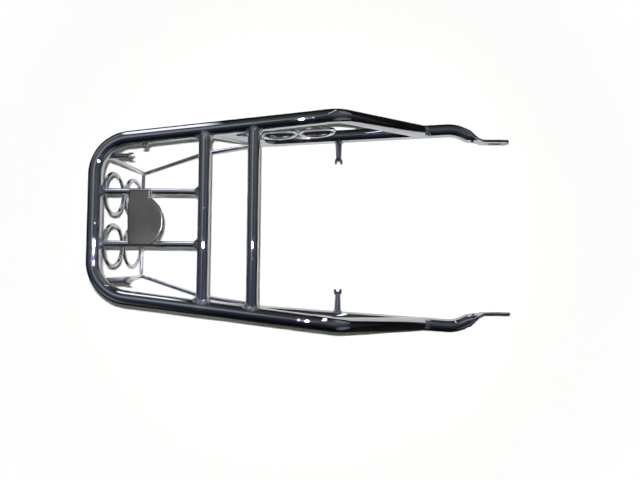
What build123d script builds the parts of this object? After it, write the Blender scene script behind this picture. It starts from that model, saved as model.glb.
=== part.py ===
from build123d import *
import os
from math import asin, cos, radians, sin, sqrt, tan

# Motorcycle luggage rack: a flat hoop of bent tube, carried on two side tubes, with ring ornaments.
# Millimetres. +X points to the front of the motorcycle, +Y to its left, +Z up, and the rack rests on Z = 0.
# A station is a distance forward of the rear rail's axis. A half is a distance from the middle plane.

# Tubes, rods and wire
tube_diameter = 19.0
tube_wall = 1.5
cross_tube_diameter = 16.0
rod_diameter = 6.0
wire_diameter = 5.0
deck_bar_diameter = 8.0
touch = 0.05                    # space left between round pieces that are tacked side by side
cope_setback = 4.0              # a square branch stops this far short of the other tube's axis
toe_setback = 2.5               # and a slanting one this far

# Deck hoop
frame_height = 120.0            # rail axis above the lower tubes' axis
rail_half_rear = 97.5           # rail axis at the rear rail
rail_half_bend = 135.1          # rail axis where it turns down
bend_station = 312.0
corner_radius = 47.0
bend_radius = 36.0
rear_cross_station = 139.75
front_cross_station = 202.9
deck_bar_half = 33.75

# Badge plate on the two deck bars
badge_station = 45.5            # rear edge
badge_depth = 27.0
badge_half = 35.6
badge_thickness = 4.0
badge_bow = 1.5                 # how far the rear edge bows out
badge_round_width = 61.0        # round front, from the strip's right-hand end
badge_round_reach = 17.0
badge_edge = 1.6

# Lower tubes, with front ends that are pressed flat and slotted
rise_station = 144.0            # where the rear end meets the rail
foot_station = 206.0            # where it turns forward
lower_half_foot = 126.5
toe_station = 488.0             # where the front end turns in
lower_half_toe = 144.8
joint_setback = 46.0            # from there back to where the rail's slope meets the lower tube
foot_radius = 40.0
toe_radius = 45.0
press_length = 22.0             # from round to flat
tab_lead = 39.0                 # tab's root ahead of the toe
tab_inset = 18.8                # and inside it
tab_height = 26.0
tab_thickness = 4.0
tab_reach = 39.0
tab_tip_radius = 9.0
slot_length = 20.0
slot_width = 8.5
vent_diameter = 4.0             # plating vent where the tube starts to flatten
vent_lead = 6.0
vent_slope = 50.0               # degrees from upright, towards the middle

# Tail rod, its panel of rings and the braces
panel_station = 7.6             # where the rings' plane crosses the hoop's
tail_rod_station = 26.0
tail_corner_radius = 6.0
tail_ring_gap = 9.5             # between the left and the right rings
tail_side_gap = 12.8            # from the rings to the tail rod's corners
leg_splay = 4.4                 # legs' tops outside those corners
brace_kink_station = 119.0
brace_kink_half = 103.5
brace_kink_height = 23.0
brace_kink_radius = 40.0
brace_end_height = 34.0

# Rings that stand on the lower tubes
side_ring_diameter = 49.0       # middle of the wire

# Forked lugs and strap stud
head_length = 6.0
head_neck = 3.0                 # from the round waist to the flat head
notch_width = 5.0
notch_depth = 4.0
front_lug_station = 316.0
front_lug_reach = 32.0          # from the lower tube's surface
front_lug_diameter = 11.6       # at its root
front_waist_diameter = 8.7
front_head_width = 12.0
front_head_thickness = 5.0
rear_lug_drop = 8.0             # below the hoop's axis
rear_lug_lead = 4.0             # its root ahead of the tail rod's leg
rear_lug_length = 33.0
rear_lug_diameter = 7.5
rear_waist_diameter = 6.5
rear_head_width = 9.0
rear_head_thickness = 3.5
stud_station = 62.5
stud_diameter = 7.0
stud_reach = 5.5                # from the rail's surface
stud_edge = 1.2

# Sizes that follow from those above
tube_radius = tube_diameter / 2
rod_radius = rod_diameter / 2
wire_radius = wire_diameter / 2
bore_diameter = tube_diameter - 2 * tube_wall
cross_bore_diameter = cross_tube_diameter - 2 * tube_wall
deck_height = tube_radius + frame_height
joint_station = toe_station - joint_setback
tab_station = toe_station + tab_lead
front_reach = tab_station + tab_reach
mid_station = (front_reach - tube_radius) / 2
rail_slope = (rail_half_bend - rail_half_rear) / bend_station
lower_slope = (lower_half_toe - lower_half_foot) / (toe_station - foot_station)
corner_half = rail_half_rear + rail_slope * corner_radius - corner_radius * sqrt(1 + rail_slope**2)


def spot(station, half, height):
    """A point of the rack, in the frame whose origin is on the floor under the middle of the box."""
    return Vector(station - mid_station, half, height)


def rail_half(station):
    """Rail axis from the middle plane."""
    return rail_half_rear + rail_slope * station


def lower_half(station):
    """Lower tube axis from the middle plane."""
    return lower_half_foot + lower_slope * (station - foot_station)


def other_hand(point):
    """The same point on the right-hand side."""
    return Vector(point.X, -point.Y, point.Z)


def bent_bar(points, radii, diameter, bore=0.0):
    """A round bar, or a tube if it has a bore, along straight runs joined by arcs."""
    with BuildPart() as bar:
        with BuildLine() as path:
            FilletPolyline(*points, radius=radii)
        with BuildSketch(Plane(path.line @ 0, z_dir=path.line % 0)):
            Circle(diameter / 2)
            if bore > 0:
                Circle(bore / 2, mode=Mode.SUBTRACT)
        sweep(path=path.line)
    return bar.part


def straight_bar(start, end, diameter, bore=0.0):
    """A straight round bar, or a tube if it has a bore."""
    with BuildPart() as bar:
        with BuildSketch(Plane(start, z_dir=end - start)):
            Circle(diameter / 2)
            if bore > 0:
                Circle(bore / 2, mode=Mode.SUBTRACT)
        extrude(amount=(end - start).length)
    return bar.part


def coped(blank, *neighbours):
    """A blank cut back to the outside of the pieces that it is welded to."""
    with BuildPart() as piece:
        add(blank)
        for neighbour in neighbours:
            add(neighbour, mode=Mode.SUBTRACT)
    return piece.part


def wire_ring(plane, ring_diameter):
    """A closed ring of wire whose axis is the plane's normal."""
    with BuildPart(plane) as ring:
        Torus(ring_diameter / 2, wire_radius)
    return ring.part


def forked_lug(plane, length, diameter, waist_diameter, head_width, head_thickness):
    """A round lug along the plane's normal: it tapers to a waist, and its flat head has an open notch."""
    head_start = length - head_length
    waist = head_start - head_neck
    with BuildPart() as lug:
        with BuildSketch(plane):
            Circle(diameter / 2)
        with BuildSketch(plane.offset(waist)):
            Circle(waist_diameter / 2)
        loft()
        with BuildSketch(plane.offset(waist)):
            Circle(waist_diameter / 2)
        with BuildSketch(plane.offset(head_start)):
            SlotOverall(head_width, head_thickness)
        loft()
        with BuildSketch(plane.offset(head_start)):
            SlotOverall(head_width, head_thickness)
        extrude(amount=head_length)
        notch_plane = Plane(plane.location.position, x_dir=plane.z_dir, z_dir=plane.y_dir)
        with BuildSketch(notch_plane):
            with Locations((length, 0)):
                SlotOverall(2 * notch_depth, notch_width)
        extrude(amount=head_thickness, both=True, mode=Mode.SUBTRACT)
    return lug.part


# Axis points of the left-hand side
corner = spot(0, rail_half_rear, deck_height)
bend = spot(bend_station, rail_half_bend, deck_height)
joint = spot(joint_station, lower_half(joint_station), tube_radius)
rise = spot(rise_station, rail_half(rise_station), deck_height)
foot = spot(foot_station, lower_half_foot, tube_radius)
toe = spot(toe_station, lower_half_toe, tube_radius)
tab_root = spot(tab_station, lower_half_toe - tab_inset, tab_height / 2)
press_run = (tab_root - toe).normalized()
press_start = tab_root - press_run * press_length

# Solid bars that stand for the through tubes where other pieces are cut to fit them
deck_hoop = bent_bar([bend, corner, other_hand(corner), other_hand(bend)], [corner_radius] * 2, tube_diameter)
lower_bar = bent_bar([rise, foot, toe, press_start], [foot_radius, toe_radius], tube_diameter)
lower_bar_right = mirror(lower_bar, about=Plane.XZ)

pieces = {}


def keep_pair(name, left):
    """Keep a left-hand piece and its mirror image."""
    pieces[f"{name}_left"] = left
    pieces[f"{name}_right"] = mirror(left, about=Plane.XZ)


# Main loop: one tube, from the left lower tube up, round the deck and down to the right one
loop_end = joint + (bend - joint).normalized() * toe_setback
loop_left = [loop_end, bend, corner]
loop_points = loop_left + [other_hand(point) for point in reversed(loop_left)]
loop_radii = [bend_radius, corner_radius, corner_radius, bend_radius]
loop_tube = bent_bar(loop_points, loop_radii, tube_diameter, bore_diameter)
pieces["main_loop"] = coped(loop_tube, lower_bar, lower_bar_right)

# Cross tubes between the rails
cross_bars = {}
for name, station in (("rear_cross_tube", rear_cross_station), ("front_cross_tube", front_cross_station)):
    end = spot(station, rail_half(station) - cope_setback, deck_height)
    cross_bars[name] = straight_bar(other_hand(end), end, cross_tube_diameter)
    cross_tube = straight_bar(other_hand(end), end, cross_tube_diameter, cross_bore_diameter)
    pieces[name] = coped(cross_tube, deck_hoop)

# Deck bars from the rear rail to the rear cross tube
deck_bar = straight_bar(
    spot(0, deck_bar_half, deck_height),
    spot(rear_cross_station, deck_bar_half, deck_height),
    deck_bar_diameter,
)
keep_pair("deck_bar", coped(deck_bar, deck_hoop, cross_bars["rear_cross_tube"]))

# Badge plate: a strip across both deck bars with a round front
badge_height = deck_height + deck_bar_diameter / 2 + touch
badge_front = badge_station + badge_depth
badge_bow_point = (badge_station - badge_bow, 0)
badge_round_left = badge_round_width - badge_half
badge_nose = (badge_front + badge_round_reach, badge_round_left - badge_round_width / 2)
with BuildPart() as badge_plate:
    with BuildSketch(Plane(spot(0, 0, badge_height))):
        with BuildLine():
            ThreePointArc((badge_station, badge_half), badge_bow_point, (badge_station, -badge_half))
            Line((badge_station, -badge_half), (badge_front, -badge_half))
            ThreePointArc((badge_front, -badge_half), badge_nose, (badge_front, badge_round_left))
            Polyline((badge_front, badge_round_left), (badge_front, badge_half), (badge_station, badge_half))
        make_face()
    extrude(amount=badge_thickness)
    fillet(badge_plate.faces().sort_by(Axis.Z)[-1].edges(), radius=badge_edge)
pieces["badge_plate"] = badge_plate.part

# Lower tubes: coped under the rail at the rear, pressed flat and slotted at the front
rise_end = rise + (foot - rise).normalized() * toe_setback
press_plane = Plane(press_start, x_dir=(0, 0, 1), z_dir=press_run)
tab_plane = Plane(tab_root, x_dir=(0, 0, 1), z_dir=(1, 0, 0))
side_plane = Plane(tab_root, x_dir=(1, 0, 0), z_dir=(0, -1, 0))
with BuildPart() as tab:
    with BuildSketch(tab_plane):
        SlotOverall(tab_height, tab_thickness)
    extrude(amount=tab_reach)
    with BuildSketch(side_plane) as outline:
        Rectangle(tab_reach, tab_height, align=(Align.MIN, Align.CENTER))
        fillet(outline.vertices().group_by(Axis.X)[-1], radius=tab_tip_radius)
    extrude(amount=tab_thickness, both=True, mode=Mode.INTERSECT)
    with BuildSketch(side_plane):
        with Locations((tab_reach / 2, 0)):
            SlotOverall(slot_length, slot_width)
    extrude(amount=tab_thickness, both=True, mode=Mode.SUBTRACT)
lower_points = [rise_end, foot, toe, press_start]
lower_run = bent_bar(lower_points, [foot_radius, toe_radius], tube_diameter, bore_diameter)
vent_dir = Vector(0, -sin(radians(vent_slope)), cos(radians(vent_slope)))
vent_plane = Plane(press_start + press_run * vent_lead, z_dir=vent_dir)
with BuildPart() as lower_tube:
    add(lower_run)
    with BuildSketch(press_plane):
        Circle(tube_radius)
    with BuildSketch(tab_plane):
        SlotOverall(tab_height, tab_thickness)
    loft()
    add(tab.part)
    with BuildSketch(vent_plane):
        Circle(vent_diameter / 2)
    extrude(amount=tube_diameter, mode=Mode.SUBTRACT)
    add(deck_hoop, mode=Mode.SUBTRACT)
    add(cross_bars["rear_cross_tube"], mode=Mode.SUBTRACT)
keep_pair("lower_tube", lower_tube.part)

# Tail rings fill the panel between the rear rail and the tail rod, two above two
panel_top = spot(panel_station, 0, deck_height)
panel_foot = spot(tail_rod_station, 0, rod_radius)
panel_down = (panel_foot - panel_top).normalized()
panel_side = Vector(0, 1, 0)
rail_gap = tube_radius + wire_radius + touch
rail_lead = panel_station * panel_down.X
under_rail = sqrt(rail_lead**2 + rail_gap**2 - panel_station**2) - rail_lead
under_deck_bar = deck_bar_diameter / 2 + wire_radius + touch
ring_top = max(under_rail, under_deck_bar)
ring_foot = (panel_foot - panel_top).length - rod_radius - wire_radius - touch
tail_ring_diameter = (ring_foot - ring_top - wire_diameter - touch) / 2
tail_ring_half = (tail_ring_diameter + wire_diameter + tail_ring_gap) / 2
ring_drops = {"upper": ring_top + tail_ring_diameter / 2, "lower": ring_foot - tail_ring_diameter / 2}
for row, drop in ring_drops.items():
    centre = panel_top + panel_down * drop + panel_side * tail_ring_half
    ring_plane = Plane(centre, x_dir=panel_side, z_dir=panel_down.cross(panel_side))
    keep_pair(f"tail_ring_{row}", wire_ring(ring_plane, tail_ring_diameter))

# Tail rod: down from one corner of the hoop, across on the floor and up to the other corner
tail_rod_half = tail_ring_half + tail_ring_diameter / 2 + wire_radius + tail_side_gap
leg_half = tail_rod_half + leg_splay
leg_turn = asin(max(0, leg_half - corner_half) / corner_radius)
leg_top = spot(corner_radius - corner_radius * cos(leg_turn), leg_half, deck_height)
tail_corner = spot(tail_rod_station, tail_rod_half, rod_radius)
tail_points = [leg_top, tail_corner, other_hand(tail_corner), other_hand(leg_top)]
tail_bar = bent_bar(tail_points, [tail_corner_radius] * 2, rod_diameter)
tail_cutter = bent_bar(tail_points, [tail_corner_radius] * 2, rod_diameter + 2 * touch)
pieces["tail_rod"] = coped(tail_bar, deck_hoop)

# Braces from the tail rod's corners to the inner side of the lower tubes' rise
leg_run = (leg_top - tail_corner).normalized()
bend_inward = (leg_run - panel_side).normalized()
bend_sine = sqrt(1 - leg_run.dot(bend_inward) ** 2)
brace_start = tail_corner + bend_inward * (tail_corner_radius / bend_sine - tail_corner_radius)
brace_kink = spot(brace_kink_station, brace_kink_half, brace_kink_height)
rise_point = foot + (rise - foot) * ((brace_end_height - tube_radius) / frame_height)
brace_end = rise_point - Vector(0, tube_radius, 0)
brace_bar = bent_bar([brace_start, brace_kink, brace_end], [brace_kink_radius], rod_diameter)
keep_pair("brace", coped(brace_bar, tail_cutter, lower_bar))

# Side rings stand in line on each lower tube: the rear one nests in the foot's bend, the other touches it
lower_run_dir = (toe - foot).normalized()
foot_turn = radians((foot - rise).get_angle(lower_run_dir))
ring_rise = tube_radius + wire_radius + touch + side_ring_diameter / 2
ring_lead = tan(foot_turn / 2) * max(foot_radius, ring_rise)
ring_pitch = side_ring_diameter + wire_diameter + touch
for place, lead in (("rear", ring_lead), ("front", ring_lead + ring_pitch)):
    centre = foot + lower_run_dir * lead + Vector(0, 0, ring_rise)
    ring_plane = Plane(centre, x_dir=lower_run_dir, z_dir=lower_run_dir.cross(Vector(0, 0, 1)))
    keep_pair(f"side_ring_{place}", wire_ring(ring_plane, side_ring_diameter))

# Front lugs point inwards from the lower tubes
front_lug_root = spot(front_lug_station, lower_half(front_lug_station), tube_radius)
front_lug = forked_lug(
    Plane(front_lug_root, x_dir=(1, 0, 0), z_dir=(0, -1, 0)),
    tube_radius + front_lug_reach,
    front_lug_diameter,
    front_waist_diameter,
    front_head_width,
    front_head_thickness,
)
keep_pair("front_lug", coped(front_lug, lower_bar))

# Rear lugs point forward from under the hoop's rear corners, in line with the tail rod's legs
rear_lug_root = leg_top - leg_run * (rear_lug_drop / leg_run.Z) + Vector(rear_lug_lead, 0, 0)
rear_lug = forked_lug(
    Plane(rear_lug_root, x_dir=(0, 1, 0), z_dir=(1, 0, 0)),
    rear_lug_length,
    rear_lug_diameter,
    rear_waist_diameter,
    rear_head_width,
    rear_head_thickness,
)
keep_pair("rear_lug", coped(rear_lug, deck_hoop))

# Strap stud on the inner side of the left rail
stud_root = spot(stud_station, rail_half(stud_station), deck_height)
with BuildPart() as stud:
    with BuildSketch(Plane(stud_root, z_dir=(0, -1, 0))):
        Circle(stud_diameter / 2)
    extrude(amount=tube_radius + stud_reach)
    fillet(stud.faces().sort_by(Axis.Y)[0].edges(), radius=stud_edge)
pieces["strap_stud"] = coped(stud.part, deck_hoop)

os.makedirs("parts", exist_ok=True)
for name, part in pieces.items():
    part.label = name
    export_step(part, f"parts/{name}.step")
print(f"{len(pieces)} pieces, tail ring diameter {tail_ring_diameter:.2f}, front reach {front_reach:.1f}")
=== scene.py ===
# %% [markdown]
# A chromed luggage rack for the tail of a motorcycle. The real one is steel tube, rod and wire that was
# bent, welded and then plated all over. The solids already hold its true shape, so this script only adds
# what the eye needs: plated finishes, the weld beads between the pieces, a floor, light and a camera.

# %% Load the rack
import math

import bmesh
import bpy
import numpy as np
from mathutils import Matrix, Vector


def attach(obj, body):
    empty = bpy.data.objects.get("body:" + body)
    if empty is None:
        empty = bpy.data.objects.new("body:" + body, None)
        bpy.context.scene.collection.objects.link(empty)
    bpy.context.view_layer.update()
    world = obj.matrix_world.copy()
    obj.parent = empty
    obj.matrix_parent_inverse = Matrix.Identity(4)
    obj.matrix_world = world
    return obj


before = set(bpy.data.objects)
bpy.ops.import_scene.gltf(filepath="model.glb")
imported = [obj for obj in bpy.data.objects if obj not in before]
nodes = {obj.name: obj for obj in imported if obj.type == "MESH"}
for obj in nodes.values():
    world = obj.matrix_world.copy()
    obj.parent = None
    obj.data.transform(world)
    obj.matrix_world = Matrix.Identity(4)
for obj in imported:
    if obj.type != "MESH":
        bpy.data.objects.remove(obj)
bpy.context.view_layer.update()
mm = 0.001

# %% [markdown]
# Colours are written the way a paint chip or a picture editor shows them, as sRGB hex. Cycles works with
# linear light, so every colour goes through this one function. A second small function adds a node: its
# own settings, and for each socket either a plain value or the output that feeds it. Where sockets share a
# name, a number picks one: a Mix node takes numbers at 2 and 3 and colours at 6 and 7.


# %% Colours and nodes
def linear(hex_colour):
    """sRGB hex to linear RGBA: c / 12.92 in the darkest part, else ((c + 0.055) / 1.055) to the power 2.4."""
    srgb = np.array([int(hex_colour[i:i + 2], 16) for i in (1, 3, 5)]) / 255
    light = np.where(srgb <= 0.04045, srgb / 12.92, ((srgb + 0.055) / 1.055) ** 2.4)
    return (*light.tolist(), 1.0)


def add_node(tree, kind, sockets=None, **settings):
    """Add one node; a socket gets a link where its value is another node's output, else the value itself."""
    node = tree.nodes.new("ShaderNode" + kind)
    for setting, value in settings.items():
        setattr(node, setting, value)
    for name, value in (sockets or {}).items():
        if isinstance(value, bpy.types.NodeSocket):
            tree.links.new(value, node.inputs[name])
        else:
            node.inputs[name].default_value = value
    return node


print("mid grey in linear light", [round(v, 3) for v in linear("#808080")])

# %% [markdown]
# Decorative chrome is a thin hard layer over polished nickel and steel: a cold, very slightly blue mirror.
# It is never a perfect one. Handling leaves patches of haze, the metal below has waves and streaks, and age
# adds small dull pits; those near the lamp's reflection light up as dots. An image could hold all that, but
# noise on Object coordinates needs no unwrapping and can be stretched along the way the stock runs. The
# haze drifts the roughness, a Voronoi pattern puts one pit in each of its cells, and bumps bend the mirror.

# %% Plated metal
haze_size, haze_detail = 45, 4.0
clear_below, hazy_above = 0.35, 0.7
pit_gap, pit_radius, pit_roughness = 4.0, 0.6, 0.2
relief_detail = 1.0


def plated(name, colour, run, roughness, relief):
    """Pitted plate, roughness from clear to hazy, bent by bumps: (size across run, along it, depth) in mm."""
    finish = bpy.data.materials.new(name)
    finish.use_nodes = True
    tree = finish.node_tree
    shader = tree.nodes["Principled BSDF"]
    shader.inputs["Base Color"].default_value = linear(colour)
    shader.inputs["Metallic"].default_value = 1.0
    place = add_node(tree, "TexCoord").outputs["Object"]
    haze = add_node(tree, "TexNoise", {
        "Vector": place, "Scale": 1 / (haze_size * mm), "Detail": haze_detail,
    }).outputs["Fac"]
    drift = add_node(tree, "MapRange", {
        "Value": haze, "From Min": clear_below, "From Max": hazy_above,
        "To Min": roughness[0], "To Max": roughness[1],
    }).outputs["Result"]
    apart = add_node(tree, "TexVoronoi", {"Vector": place, "Scale": 1 / (pit_gap * mm)}).outputs["Distance"]
    pit = add_node(tree, "MapRange", {
        "Value": apart, "From Max": pit_radius / pit_gap, "To Min": pit_roughness, "To Max": 0.0,
    }).outputs["Result"]
    worn = add_node(tree, "Math", {0: drift, 1: pit}, operation="MAXIMUM").outputs[0]
    tree.links.new(worn, shader.inputs["Roughness"])
    bent = {}
    for across, along, depth in relief:
        per_metre = [1 / ((along if axis == run else across) * mm) for axis in "XYZ"]
        stretched = add_node(tree, "Mapping", {"Vector": place, "Scale": per_metre}).outputs["Vector"]
        height = add_node(tree, "TexNoise", {
            "Vector": stretched, "Scale": 1.0, "Detail": relief_detail,
        }).outputs["Fac"]
        bump = add_node(tree, "Bump", {"Height": height, "Distance": depth * mm, **bent})
        bent = {"Normal": bump.outputs["Normal"]}
    tree.links.new(bent["Normal"], shader.inputs["Normal"])
    return finish


print("a pit about every", pit_gap, "mm,", 2 * pit_radius, "mm wide; haze in patches of", haze_size, "mm")

# %% [markdown]
# The tube was linished along its length before plating, so it has long soft waves that make reflected edges
# wander, and faint long streaks. Real streaks are too fine to show here, so they are drawn about 2 mm apart.
# Drawn rod and bent wire are lumpier, which breaks their reflections into short dashes. They also get a
# lighter chrome colour than the tube: a painted sheen that stands in for the brighter reflections these thin
# parts catch. Forged lugs and weld beads are plated as they are, so they stay a little duller than the tube.

# %% Finish of each stock
chrome_colour = "#c6c8cc"
# painted sheen: a lighter copy of the chrome colour for rod and wire, standing in for their brighter
# reflections
painted_sheen_colour = "#e2e4e8"
polished, drawn, unpolished = (0.007, 0.013), (0.02, 0.05), (0.015, 0.04)
tube_relief = ((11, 150, 0.06), (2.2, 200, 0.005))
rod_relief = ((6, 8, 0.14), (2.2, 200, 0.004))
wire_relief = ((4.5, 6, 0.16), (2.2, 60, 0.004))
lug_relief = ((3, 5, 0.06), (1.2, 1.2, 0.006))
weld_relief = ((3, 3, 0.14), (1.4, 1.4, 0.03))
tube_chrome = plated("chrome_on_linished_tube", chrome_colour, "X", polished, tube_relief)
cross_chrome = plated("chrome_on_cross_tube", chrome_colour, "Y", polished, tube_relief)
rod_chrome = plated("chrome_on_drawn_rod", painted_sheen_colour, "X", drawn, rod_relief)
wire_chrome = plated("chrome_on_bent_wire", painted_sheen_colour, "Z", drawn, wire_relief)
lug_chrome = plated("chrome_on_forged_lug", chrome_colour, "Y", unpolished, lug_relief)
weld_chrome = plated("chrome_over_weld_bead", chrome_colour, "Z", unpolished, weld_relief)
finishes = (tube_chrome, cross_chrome, rod_chrome, wire_chrome, lug_chrome, weld_chrome)
print("plated finishes", [finish.name for finish in finishes])

# %% [markdown]
# The plate across the two deck bars is a duller metal than the tube: a satin plate with a brushed grain,
# drawn as coarse as the tube's streaks so that it shows. Its dark warm grey colour is a painted dark
# reflection that stands in for the dark room the plate mirrors. Satin spreads one lamp into a soft glow,
# so the plate looks an even warm grey and gets lighter towards the lamp.

# %% Satin badge finish
# painted dark reflection: the plate's dark grey stands in for the dark room it mirrors
painted_dark_satin_colour = "#525150"
satin = (0.26, 0.32)
satin_relief = ((11, 150, 0.02), (2.2, 200, 0.004))
badge_satin = plated("painted_dark_satin_plate", painted_dark_satin_colour, "Y", satin, satin_relief)
print("badge finish", badge_satin.name)

# %% [markdown]
# Each solid keeps its shape and takes the finish of its stock: tube, rod, wire or plate. The record's slots
# already group the nodes that way. The cross tubes run the other way, and the lugs were forged.

# %% Dress the solids
slot_finish = {
    "tube_chrome": tube_chrome,
    "rod_chrome": rod_chrome,
    "wire_chrome": wire_chrome,
    "badge_chrome": badge_satin,
}
for name, node in nodes.items():
    packed_slot = node.data.materials[0].name
    finish = slot_finish[packed_slot]
    if "cross_tube" in name:
        finish = cross_chrome
    elif "lug" in name:
        finish = lug_chrome
    node.data.materials.clear()
    node.data.materials.append(finish)
print("dressed", len(nodes), "solids")

# %% [markdown]
# New pieces are grids of points in millimetres. Rows go round, so the last row joins the first; columns
# either wrap too, which makes a closed ring, or run from pole to pole, where a whole column is one point and
# is merged. A grid that came out inside out (a mirrored one does) has a negative volume, and its faces are
# turned.

# %% Grids into pieces
merge_gap = 0.001


def quads_of(grid, wraps):
    """Corner numbers of the quads of a grid of points, rows joined round and columns too where it wraps."""
    rows, columns = grid.shape[:2]
    number = np.arange(rows * columns).reshape(rows, columns)
    number = np.vstack([number, number[:1]])
    number = np.hstack([number, number[:, :1]]) if wraps else number
    quads = np.stack([number[:-1, :-1], number[1:, :-1], number[1:, 1:], number[:-1, 1:]], axis=-1)
    quads = quads.reshape(-1, 4)
    a, b, c, d = (grid.reshape(-1, 3)[quads[:, k]] for k in range(4))
    volume = (np.cross(b, c) * a).sum() + (np.cross(c, d) * a).sum()
    return quads if volume > 0 else quads[:, ::-1]


def add_piece(name, grids, wraps, finish):
    """One mesh from closed grids in millimetres: each grid's numbers start where the last one's end."""
    starts = np.cumsum([0] + [grid[..., 0].size for grid in grids])
    points = np.vstack([grid.reshape(-1, 3) for grid in grids]) * mm
    faces = np.vstack([quads_of(grid, wraps) + start for grid, start in zip(grids, starts)])
    mesh = bpy.data.meshes.new(name)
    mesh.from_pydata(points.tolist(), [], faces.tolist())
    cleaner = bmesh.new()
    cleaner.from_mesh(mesh)
    bmesh.ops.remove_doubles(cleaner, verts=cleaner.verts, dist=merge_gap * mm)
    cleaner.to_mesh(mesh)
    cleaner.free()
    mesh.polygons.foreach_set("use_smooth", np.ones(len(mesh.polygons), dtype=bool))
    mesh.materials.append(finish)
    piece = bpy.data.objects.new(name, mesh)
    bpy.context.scene.collection.objects.link(piece)
    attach(piece, "root")
    print(name, len(mesh.polygons), "faces,", len(grids), "shells")


print("points nearer than", merge_gap, "mm are merged")

# %% [markdown]
# Joints are given by points and directions. A direction may be written at any length and is brought to
# length 1 when it is used. The rack is nearly the same left and right, so most joints are written once, for
# the left, and mirrored: Y changes its sign and X and Z stay.


# %% Directions and mirrored points
def unit(vectors):
    """Vectors divided by their own lengths."""
    return vectors / np.linalg.norm(vectors, axis=-1, keepdims=True)


def both_hands(point):
    """A point or a way on the left, and the same one mirrored to the right."""
    return [np.array(point) * (1, hand, 1) for hand in (1, -1)]


print("a joint on the left and its mirror image", [point.tolist() for point in both_hands((1, 2, 3))])

# %% [markdown]
# A weld bead fills the corner where one tube runs into another. Followed round the joint, the corner is
# where each lengthwise line of the branch tube meets the main tube. The bead reaches one leg up the branch
# and one leg out over the main tube, with a slightly hollow face between them and the small ripples that
# the weld pool leaves as it freezes: bowed ones, on a slow swell, with some chatter. Its lower edge dips
# just under the main tube's skin, so no gap shows. Modelled beads show in the outline, which a bump map
# never would.

# %% Weld beads
bead_hollow, bead_sink, bead_dip = 0.4, 0.6, 0.05
ripple_height, ripple_bow = 0.25, 1.6
swell_share, swell_waves, swell_slant = 0.6, 3, 2
chatter_share, chatter_slant = 0.5, 5


def weld_bead(branch, main, leg, ripples, turns=144, steps=9):
    """Closed ring round a joint. branch and main are (point on the axis, way along it, radius).

    Round the branch by angle u, the corner is the root of the quadratic that sets the distance from the
    main axis equal to the main radius. The face is a quadratic Bezier curve from one leg up the branch to
    the same quadratic with the branch a leg wider, pulled towards the corner; a sunk point closes it.
    """
    start, way, radius = np.array(branch[0], float), unit(np.array(branch[1], float)), branch[2]
    axis_point, axis, main_radius = np.array(main[0], float), unit(np.array(main[1], float)), main[2]
    u = np.linspace(0, 2 * np.pi, turns, endpoint=False)[:, None]
    side = unit(np.cross(way, axis))
    radial = np.cos(u) * side + np.sin(u) * np.cross(way, side)
    slant = way - (way @ axis) * axis

    def on_main(points):
        feet = axis_point + ((points - axis_point) @ axis)[:, None] * axis
        return feet + (main_radius - bead_dip) * unit(points - feet)

    def meet(wide):
        lines = start + wide * radial
        off = lines - axis_point
        off = off - (off @ axis)[:, None] * axis
        middle = -(off @ slant) / (slant @ slant)
        spare = middle ** 2 - ((off ** 2).sum(axis=1) - main_radius ** 2) / (slant @ slant)
        return on_main(lines + (middle + np.sqrt(np.maximum(spare, 0)))[:, None] * way)

    corner = meet(radius)
    upper = corner + leg * way
    lower = meet(radius + leg)
    outward = unit((upper + lower) / 2 - corner)
    pull = corner + bead_hollow * ((upper + lower) / 2 - corner)
    v = np.linspace(0, 1, steps)[None, :, None]
    face = (1 - v) ** 2 * upper[:, None] + 2 * v * (1 - v) * pull[:, None] + v ** 2 * lower[:, None]
    w = u[:, :, None]
    bowed = np.cos(ripples * w + ripple_bow * (2 * v - 1) ** 2)
    swell = swell_share * np.sin(swell_waves * w + swell_slant * v)
    chatter_waves = ripples // 2 + 2
    chatter = chatter_share * np.sin(chatter_waves * w + chatter_slant * v)
    face = face + ripple_height * (bowed + swell + chatter) * np.sin(np.pi * v) * outward[:, None]
    sunk = corner - bead_sink * outward
    return np.concatenate([face, sunk[:, None]], axis=1)


print("ripples", ripple_height, "mm high, lower edges", bead_dip, "mm under the skin")

# %% [markdown]
# The two cross tubes are only a little thinner than the rails, so their ends are coped like a fish mouth
# and welded all round. From above, each end flares out into the rail on both sides.

# %% Cross tube welds
tube_radius, cross_radius = 9.5, 8.0
deck_height = 129.5
rail_rear_x, rail_half_rear = -278.25, 97.5
rail_way = (1.0, 0.12051, 0.0)
cross_places = (-138.5, -75.35)
cross_leg, cross_ripples = 5.0, 26
cross_welds = []
for x in cross_places:
    half = rail_half_rear + rail_way[1] * (x - rail_rear_x)
    for end, way, rail in zip(*map(both_hands, ((x, half, deck_height), (0, -1, 0), rail_way))):
        branch, main = (end, way, cross_radius), (end, rail, tube_radius)
        cross_welds.append(weld_bead(branch, main, cross_leg, cross_ripples))
add_piece("cross_tube_welds", cross_welds, True, weld_chrome)

# %% [markdown]
# The 8 mm deck bars butt against the rear rail and the rear cross tube. A thin bar on a thick tube needs a
# full fillet all round, which makes the bar seem to grow a trumpet mouth at each end.

# %% Deck bar welds
bar_radius, bar_half = 4.0, 33.75
bar_leg, bar_ripples = 4.6, 15
deck_welds = []
bar_ends = ((rail_rear_x, (1, 0, 0), tube_radius), (cross_places[0], (-1, 0, 0), cross_radius))
for x, way, main_radius in bar_ends:
    for end in both_hands((x, bar_half, deck_height)):
        branch, main = (end, way, bar_radius), (end, (0, 1, 0), main_radius)
        deck_welds.append(weld_bead(branch, main, bar_leg, bar_ripples))
add_piece("deck_bar_welds", deck_welds, True, weld_chrome)

# %% [markdown]
# Each lower tube rises at its rear to the underside of the rail, and the loop's front end comes down onto
# the lower tube. Both are tube on tube at a slant, so the bead is long on the sharp side and short on the
# blunt one; the same quadratic gives both.

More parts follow.
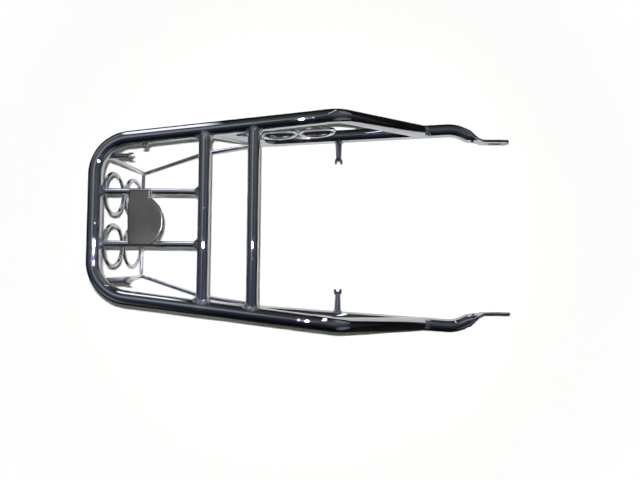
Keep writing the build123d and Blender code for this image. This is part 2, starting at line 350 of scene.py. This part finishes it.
# %% Lower tube welds
rise_top = (-134.25, 114.854, deck_height)
foot = (-72.25, 126.5, tube_radius)
toe = (209.75, 144.8, tube_radius)
bend = (33.75, 135.1, deck_height)
loop_joint = (163.75, 141.815, tube_radius)
lower_leg, lower_ripples = 3.5, 24
lower_welds = []
lower_points = (rise_top, foot, toe, bend, loop_joint, rail_way)
for top, low, far, high, met, rail in zip(*map(both_hands, lower_points)):
    rear_joint = (top, low - top, tube_radius), (top, rail, tube_radius)
    front_joint = (met, high - met, tube_radius), (met, far - low, tube_radius)
    for branch, main in (rear_joint, front_joint):
        lower_welds.append(weld_bead(branch, main, lower_leg, lower_ripples))
add_piece("lower_tube_welds", lower_welds, True, weld_chrome)

# %% [markdown]
# Rods are welded on too: the front lugs, the strap stud, the tail rod's legs and the ends of the braces.
# Where a leg meets the hoop's round corner, the corner is taken as its tangent, which is close enough over
# a bead.

# %% Rod welds
lug_radius, rod_radius, stud_radius = 5.4, 3.0, 3.5
lug_leg, hoop_leg, brace_leg, stud_leg = 2.6, 2.4, 2.2, 2.0
rod_ripples, rod_turns = 11, 72
lower_run = np.subtract(toe, foot)
rise_run = np.subtract(foot, rise_top)
front_lug = (37.75, 133.638, tube_radius)
hoop_centre = (-231.25, 55.82, deck_height)
leg_top = (-270.677, 81.405, deck_height)
leg_way = (0.144059, -0.034399, -0.988971)
hoop_tangent = np.cross(unit(np.subtract(leg_top, hoop_centre)), (0, 0, 1))
brace_end = (-84.908, 114.62, 34.0)
brace_way = (-74.342, -11.12, -11.0)
stud = (-215.75, 105.032, deck_height)
rod_joints = (
    (front_lug, (0, -1, 0), lug_radius, front_lug, lower_run, lug_leg),
    (leg_top, leg_way, rod_radius, leg_top, hoop_tangent, hoop_leg),
    (brace_end, brace_way, rod_radius, foot, rise_run, brace_leg),
)
rod_welds = []
for point, way, radius, main_point, main_way, leg in rod_joints:
    for p, w, q, e in zip(*map(both_hands, (point, way, main_point, main_way))):
        rod_welds.append(weld_bead((p, w, radius), (q, e, tube_radius), leg, rod_ripples, rod_turns))
branch, main = (stud, (0, -1, 0), stud_radius), (stud, rail_way, tube_radius)
rod_welds.append(weld_bead(branch, main, stud_leg, rod_ripples, rod_turns))
add_piece("rod_welds", rod_welds, True, weld_chrome)

# %% [markdown]
# The wire rings are only tacked: a blob of weld where a ring touches a tube, the tail rod or the next ring.
# The rear lugs have two such blobs each, one on the hoop and one on the tail rod's leg. A tack is a squashed
# ball with a slightly lumpy skin, longest along the touch.

# %% Tacks
tack_lump, lump_turns, lump_climb = 0.07, 3, 4


def tack(centre, along, across, sizes, turns=28, steps=15):
    """Lumpy spheroid: centre + sizes times (cos v cos u, cos v sin u, sin v) on its own three axes."""
    along, across = unit(np.array(along, float)), unit(np.array(across, float))
    u = np.linspace(0, 2 * np.pi, turns, endpoint=False)[:, None, None]
    v = np.linspace(-np.pi / 2, np.pi / 2, steps)[None, :, None]
    lump = 1 + tack_lump * np.cos(v) * np.sin(lump_turns * u + lump_climb * v)
    flat = np.cos(v) * (sizes[0] * np.cos(u) * along + sizes[1] * np.sin(u) * across)
    tall = sizes[2] * np.sin(v) * np.ones_like(u) * np.cross(along, across)
    return np.array(centre, float) + lump * (flat + tall)


ring_tack, foot_tack, hoop_tack, leg_tack = (4.2, 2.0, 2.4), (5.0, 1.8, 2.8), (4.4, 2.6, 1.8), (3.4, 2.6, 2.6)
panel_lean = (-0.14394, 0.0, 0.989586)
tail_ring_half, side_foot_height, rear_lug_half = 34.48, 19.2, 81.127
tail_ring_touches = ((-271.3, 123.0), (-261.25, 64.9), (-252.7, 6.0))
side_ring_feet = ((-48.03, 128.07), (5.90, 131.57))
side_ring_touch = (-21.07, 129.82, 46.05)
rear_lug_touches = ((-261.6, 123.4, hoop_tack), (-267.0, 121.0, leg_tack))
tacks = []
for x, z in tail_ring_touches:
    for centre in both_hands((x, tail_ring_half, z)):
        tacks.append(tack(centre, (0, 1, 0), panel_lean, ring_tack))
for x, y in side_ring_feet:
    for centre, way in zip(both_hands((x, y, side_foot_height)), both_hands(lower_run)):
        tacks.append(tack(centre, way, (0, 0, 1), foot_tack))
for centre, way in zip(both_hands(side_ring_touch), both_hands(lower_run)):
    tacks.append(tack(centre, (0, 0, 1), way, ring_tack))
for x, z, sizes in rear_lug_touches:
    for centre in both_hands((x, rear_lug_half, z)):
        tacks.append(tack(centre, (0, 1, 0), (1, 0, 1), sizes))
add_piece("tacks", tacks, False, weld_chrome)

# %% [markdown]
# The rack lies on a plain white board at the height of its lowest point. One large flat face is enough,
# because everything that shows on the board is light and shadow.

# %% Board
board_size = 6.0
board = bpy.data.meshes.new("floor")
corners = np.array([(-1, -1, 0), (1, -1, 0), (1, 1, 0), (-1, 1, 0)]) * board_size / 2
board.from_pydata(corners.tolist(), [], [(0, 1, 2, 3)])
floor = bpy.data.objects.new("floor", board)
bpy.context.scene.collection.objects.link(floor)
print("floor", board_size, "m square")

# %% [markdown]
# To the camera the board is white, with the narrow shadow of the lamp, and further out it turns to plain
# white light, so the picture has a clean background from every side. Mirrors need more contrast than that:
# in reflections the board is pale inside the rack and dim outside it, as a lit board in a larger, darker
# room would be. The pale patch is a box with round corners: measured from its centre in half sizes, x to
# the fourth plus y to the fourth is the same all along its edge.

# %% Board paint
white_from, white_by = 0.30, 0.6
patch_centre, patch_half = np.array((-0.03, 0.0, 0)), np.array((0.34, 0.13, 1))
pale_within, dim_beyond = 0.85, 1.7
pale_tone, dim_tone = 0.72, 0.01
matt_white = bpy.data.materials.new("matt_white_board")
matt_white.use_nodes = True
tree = matt_white.node_tree
tree.nodes.remove(tree.nodes["Principled BSDF"])
spot = add_node(tree, "TexCoord").outputs["Object"]
path = add_node(tree, "LightPath").outputs
in_patch = add_node(tree, "Mapping", {
    "Vector": spot, "Scale": (1 / patch_half).tolist(), "Location": (-patch_centre / patch_half).tolist(),
}).outputs["Vector"]
squares = add_node(tree, "VectorMath", {0: in_patch, 1: in_patch}, operation="MULTIPLY").outputs["Vector"]
outness = add_node(tree, "VectorMath", {0: squares}, operation="LENGTH").outputs["Value"]
pale = add_node(tree, "MapRange", {
    "Value": outness, "From Min": dim_beyond, "From Max": pale_within,
}, interpolation_type="SMOOTHSTEP").outputs["Result"]
tone = add_node(tree, "MapRange", {"Value": pale, "To Min": dim_tone, "To Max": pale_tone}).outputs["Result"]
seen = add_node(tree, "Mix", {0: path["Is Camera Ray"], 2: tone, 3: 1.0}).outputs[0]
paint = add_node(tree, "BsdfDiffuse", {"Color": seen})
glow = add_node(tree, "Emission", {"Color": (1, 1, 1, 1), "Strength": 1.0})
away = add_node(tree, "VectorMath", {0: spot}, operation="LENGTH").outputs["Value"]
outer = add_node(tree, "MapRange", {
    "Value": away, "From Min": white_from, "From Max": white_by,
}, interpolation_type="SMOOTHSTEP").outputs["Result"]
shown = add_node(tree, "Math", {0: outer, 1: path["Is Camera Ray"]}, operation="MULTIPLY")
mixed = add_node(tree, "MixShader", {0: shown.outputs[0], 1: paint.outputs[0], 2: glow.outputs[0]})
tree.links.new(mixed.outputs[0], tree.nodes["Material Output"].inputs["Surface"])
board.materials.append(matt_white)
print("tones of the board in mirrors", pale_tone, "to", dim_tone)

# %% [markdown]
# Chrome has almost no look of its own: it shows the room. The room here is dark and gets lighter from the
# horizon up. It is bluer and dimmer on the right, and lighter towards the front and the rear. A world's
# colour depends on the direction of the ray alone, so each of these is a function of one part of it.

# %% Room tones
stops = ((0.0, 0.012), (0.3, 0.032), (0.7, 0.064), (1.0, 0.107))
cool_tint, cool_y = "#bccaf8", -0.1
warm_tint, warm_y = "#e8eff2", 0.25
right_level, right_y, full_y = 0.25, -0.7, 0.3
end_gain = 2.2
room = bpy.data.worlds.new("room")
room.use_nodes = True
bpy.context.scene.world = room
tree = room.node_tree
tree.nodes.remove(tree.nodes["Background"])
aim = add_node(tree, "TexCoord").outputs["Generated"]
ways = add_node(tree, "SeparateXYZ", {0: aim}).outputs
greys = add_node(tree, "ValToRGB", {"Fac": ways["Z"]})
for up, _ in stops[2:]:
    greys.color_ramp.elements.new(up)
for element, (up, grey) in zip(greys.color_ramp.elements, stops):
    element.position = up
    element.color = (grey, grey, grey, 1)
warmer = add_node(tree, "MapRange", {
    "Value": ways["Y"], "From Min": cool_y, "From Max": warm_y,
}).outputs["Result"]
tint = add_node(tree, "Mix", {
    0: warmer, 6: linear(cool_tint), 7: linear(warm_tint),
}, data_type="RGBA").outputs[2]
dark_room = add_node(tree, "Mix", {
    0: 1.0, 6: greys.outputs["Color"], 7: tint,
}, data_type="RGBA", blend_type="MULTIPLY").outputs[2]
sides = add_node(tree, "MapRange", {
    "Value": ways["Y"], "From Min": right_y, "From Max": full_y, "To Min": right_level,
}).outputs["Result"]
endwise = add_node(tree, "Math", {0: ways["X"]}, operation="ABSOLUTE").outputs[0]
ends = add_node(tree, "Math", {0: endwise, 1: end_gain, 2: 1.0}, operation="MULTIPLY_ADD").outputs[0]
room_level = add_node(tree, "Math", {0: sides, 1: ends}, operation="MULTIPLY").outputs[0]
mirrored = add_node(tree, "Background", {"Color": dark_room, "Strength": room_level}).outputs[0]
print("room levels", stops)

# %% [markdown]
# The room has a soft glow on the ceiling, a little to the rear and the left, and a dim soft box in each
# corner, which draws a grey line along a tube that is seen from the side. Only glossy rays see the room
# and these lights. The camera sees white, and what is left over is a weak fill for the shadows.

# %% Soft lights and fill
lamp_white, fill_colour = "#eef2ff", "#c9cdbb"
glow_way = unit(np.array((-0.22, 0.20, 0.955))).tolist()
glow_level, glow_edge, glow_core = 0.25, 0.955, 0.995
box_level, box_edge, box_core = 0.2, 0.25, 0.45
fill_level = 0.13
toward = add_node(tree, "VectorMath", {0: aim, 1: glow_way}, operation="DOT_PRODUCT").outputs["Value"]
ceiling = add_node(tree, "MapRange", {
    "Value": toward, "From Min": glow_edge, "From Max": glow_core, "To Max": glow_level,
}, interpolation_type="SMOOTHSTEP").outputs["Result"]
slantwise = add_node(tree, "Math", {0: ways["X"], 1: ways["Y"]}, operation="MULTIPLY").outputs[0]
cornerwise = add_node(tree, "Math", {0: slantwise}, operation="ABSOLUTE").outputs[0]
soft_boxes = add_node(tree, "MapRange", {
    "Value": cornerwise, "From Min": box_edge, "From Max": box_core, "To Max": box_level,
}, interpolation_type="SMOOTHSTEP").outputs["Result"]
soft_level = add_node(tree, "Math", {0: ceiling, 1: soft_boxes}, operation="ADD").outputs[0]
soft = add_node(tree, "Background", {"Color": linear(lamp_white), "Strength": soft_level}).outputs[0]
both = add_node(tree, "AddShader", {0: mirrored, 1: soft}).outputs[0]
fill = add_node(tree, "Background", {"Color": linear(fill_colour), "Strength": fill_level}).outputs[0]
white = add_node(tree, "Background", {"Color": (1, 1, 1, 1), "Strength": 1.0}).outputs[0]
path = add_node(tree, "LightPath").outputs
unseen = add_node(tree, "MixShader", {0: path["Is Glossy Ray"], 1: fill, 2: both}).outputs[0]
sky = add_node(tree, "MixShader", {0: path["Is Camera Ray"], 1: unseen, 2: white}).outputs[0]
tree.links.new(sky, tree.nodes["World Output"].inputs["Surface"])
print("ceiling glow", glow_level, "corner boxes", box_level, "fill", fill_level)

# %% [markdown]
# Two lights stand on the left, and only the metal sees them. A white card near the rear makes the pale line
# along the outer side of the left rail and the inner side of the right one. A tall narrow strip makes the
# short dash where each rail bends down. Both are near, so each reflection ends part of the way along its
# tube, which light from far away could not do. A row gives, in metres, where the light starts and ends in
# X, its place in Y, its bottom and top, then its strength and the width of its soft ends.

# %% Card and strip
cards = (
    ("card", (-0.46, -0.20), 0.48, (0.06, 0.42), 1.9, 0.05),
    ("strip", (0.141, 0.163), 0.80, (0.0, 1.2), 4.0, 0.008),
)
for name, (x_low, x_high), y, (z_low, z_high), full_strength, fade in cards:
    card_mesh = bpy.data.meshes.new(name)
    card_mesh.from_pydata([
        (x_low, y, z_low), (x_high, y, z_low), (x_high, y, z_high), (x_low, y, z_high),
    ], [], [(0, 1, 2, 3)])
    card = bpy.data.objects.new(name, card_mesh)
    bpy.context.scene.collection.objects.link(card)
    lit = bpy.data.materials.new("lit_white_" + name)
    lit.use_nodes = True
    tree = lit.node_tree
    tree.nodes.remove(tree.nodes["Principled BSDF"])
    spot = add_node(tree, "TexCoord").outputs["Object"]
    across = add_node(tree, "SeparateXYZ", {0: spot}).outputs["X"]
    strength = full_strength
    for edge, inside in ((x_low, x_low + fade), (x_high, x_high - fade)):
        ramp = add_node(tree, "MapRange", {
            "Value": across, "From Min": edge, "From Max": inside,
        }, interpolation_type="SMOOTHSTEP").outputs["Result"]
        strength = add_node(tree, "Math", {0: ramp, 1: strength}, operation="MULTIPLY").outputs[0]
    glow = add_node(tree, "Emission", {"Color": linear(lamp_white), "Strength": strength})
    tree.links.new(glow.outputs[0], tree.nodes["Material Output"].inputs["Surface"])
    card_mesh.materials.append(lit)
    for rays in ("camera", "diffuse", "shadow"):
        setattr(card, "visible_" + rays, False)
    print(name, "at", y, "m to the left, strength", full_strength)

# %% [markdown]
# Two small lamps hang beside the camera. The first lights the board and throws the narrow shadow next to
# each tube. The second is a spark that only the metal shows, as a star on each tube that faces it. Their
# falloff is constant, so the board is lit as evenly at its edges as in the middle.

# %% Lamps
lamps = (
    ("board_lamp", (-0.006, -0.036, 0.93), 38.5, 0.007, "visible_glossy"),
    ("spark_lamp", (0.003, 0.001, 0.93), 130.0, 0.006, "visible_diffuse"),
)
for name, lamp_place, watts, radius, unseen_by in lamps:
    lamp_data = bpy.data.lights.new(name, "POINT")
    lamp_data.energy = watts
    lamp_data.shadow_soft_size = radius
    lamp_data.use_nodes = True
    tree = lamp_data.node_tree
    even = add_node(tree, "LightFalloff", {"Strength": 1.0}).outputs["Constant"]
    tree.links.new(even, tree.nodes["Emission"].inputs["Strength"])
    lamp = bpy.data.objects.new(name, lamp_data)
    lamp.location = lamp_place
    lamp.visible_camera = False
    setattr(lamp, unseen_by, False)
    bpy.context.scene.collection.objects.link(lamp)
    print(name, watts, "W at", lamp_place)

# %% [markdown]
# The picture was taken from nearly straight above, with a short lens and the camera turned a fraction of a
# degree. The camera is built from its place, the spot on the board that it looks at, and that small turn.

# %% Camera
camera_place = Vector((9.19, -70.0, 930.34)) * mm
camera_aim = Vector((11.21, -19.80, 0.0)) * mm
camera_roll = math.radians(0.49)
camera_data = bpy.data.cameras.new("camera")
camera_data.sensor_width = 36.0
camera_data.lens = 35.216
forward = (camera_aim - camera_place).normalized()
unrolled = forward.cross(Vector((0, 1, 0))).normalized()
right = unrolled * math.cos(camera_roll) + unrolled.cross(forward) * math.sin(camera_roll)
turned = Matrix((right, right.cross(forward), -forward)).transposed().to_4x4()
camera = bpy.data.objects.new("camera", camera_data)
camera.matrix_world = Matrix.Translation(camera_place) @ turned
bpy.context.scene.collection.objects.link(camera)
bpy.context.scene.camera = camera
bpy.context.scene.view_settings.view_transform = "Standard"
print("camera", [round(v, 3) for v in camera_place], "m, lens", round(camera_data.lens, 3), "mm")

# %% [markdown]
# The view layer is brought up to date at the end.

# %% Last update
bpy.context.view_layer.update()
